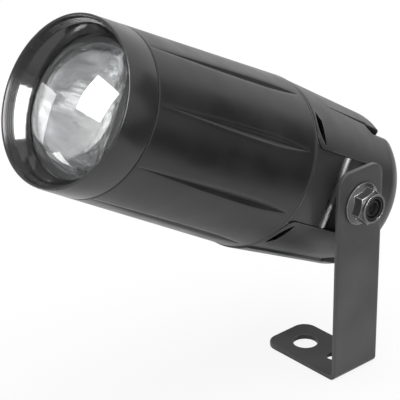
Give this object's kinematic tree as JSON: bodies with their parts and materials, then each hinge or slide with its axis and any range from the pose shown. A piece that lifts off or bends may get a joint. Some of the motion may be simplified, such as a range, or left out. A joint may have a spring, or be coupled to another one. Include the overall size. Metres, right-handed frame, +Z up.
{
  "type": "pinspot light",
  "caption": "Round-barrelled LED pinspot lamp with a condenser lens and fluted sleeve, tilting on a single L-shaped steel bracket with a clamp hole.",
  "frame": {"origin": "on the underside of the bracket's foot, on the foot's centre line, straight below the axis of the lamp head", "axes": "+Z up from the foot, -Y towards the side the beam leaves, +X towards the bracket's arm, along the tilt pivot"},
  "size_m": [0.0822, 0.1804, 0.1735],
  "materials": {
    "satin_black": "satin moulded black plastic",
    "housing_black": "semi-gloss moulded black plastic",
    "powder_coat": "dark satin powder coat",
    "black_nylon": "matt black nylon",
    "black_zinc": "black zinc plate, slightly glossy",
    "lens_glass": "polished clear optical glass",
    "soft_rubber": "matt black rubber",
    "bare_aluminium": "satin extruded aluminium",
    "mirror_coat": "vacuum metallised, bright",
    "white_mask": "white solder mask",
    "green_mask": "green solder mask",
    "phosphor": "clear silicone over yellow phosphor",
    "thermal_pad": "soft matt silicone pad",
    "winding": "yellow wound tape",
    "plain_steel": "zinc-plated steel"
  },
  "bodies": {
    "bracket": {"bracket": "powder_coat"},
    "lamp_head": {"front_bezel": "satin_black", "condenser_lens": "lens_glass", "lens_gasket": "soft_rubber", "lens_retaining_ring": "black_nylon", "main_sleeve": "satin_black", "rear_cover": "satin_black", "inner_housing": "housing_black", "heat_sink": "bare_aluminium", "thermal_pad": "thermal_pad", "led_board": "white_mask", "led_package": "phosphor", "reflector": "mirror_coat", "driver_board": "green_mask", "driver_transformer": "winding", "terminal_block": "white_mask", "driver_capacitor": "black_nylon", "cover_screw_1": "black_zinc", "cover_screw_2": "black_zinc", "cover_screw_3": "black_zinc", "cover_screw_4": "black_zinc", "heat_sink_screw_1": "plain_steel", "heat_sink_screw_2": "plain_steel", "led_screw_1": "plain_steel", "led_screw_2": "plain_steel", "driver_screw_1": "plain_steel", "driver_screw_2": "plain_steel", "cable_gland_body": "black_nylon", "gland_lock_nut": "black_nylon", "gland_cap": "black_nylon", "gland_seal": "soft_rubber", "pivot_bolt": "black_zinc", "friction_washer": "black_nylon", "pivot_lock_nut": "black_zinc", "nut_insert": "black_nylon"}
  },
  "joints": [
    {"name": "tilt", "type": "hinge", "parent": "bracket", "child": "lamp_head", "pos_m": [0.0376, 0, 0.0791], "axis": [-1, 0, 0], "range_deg": [-80, 201]}
  ]
}
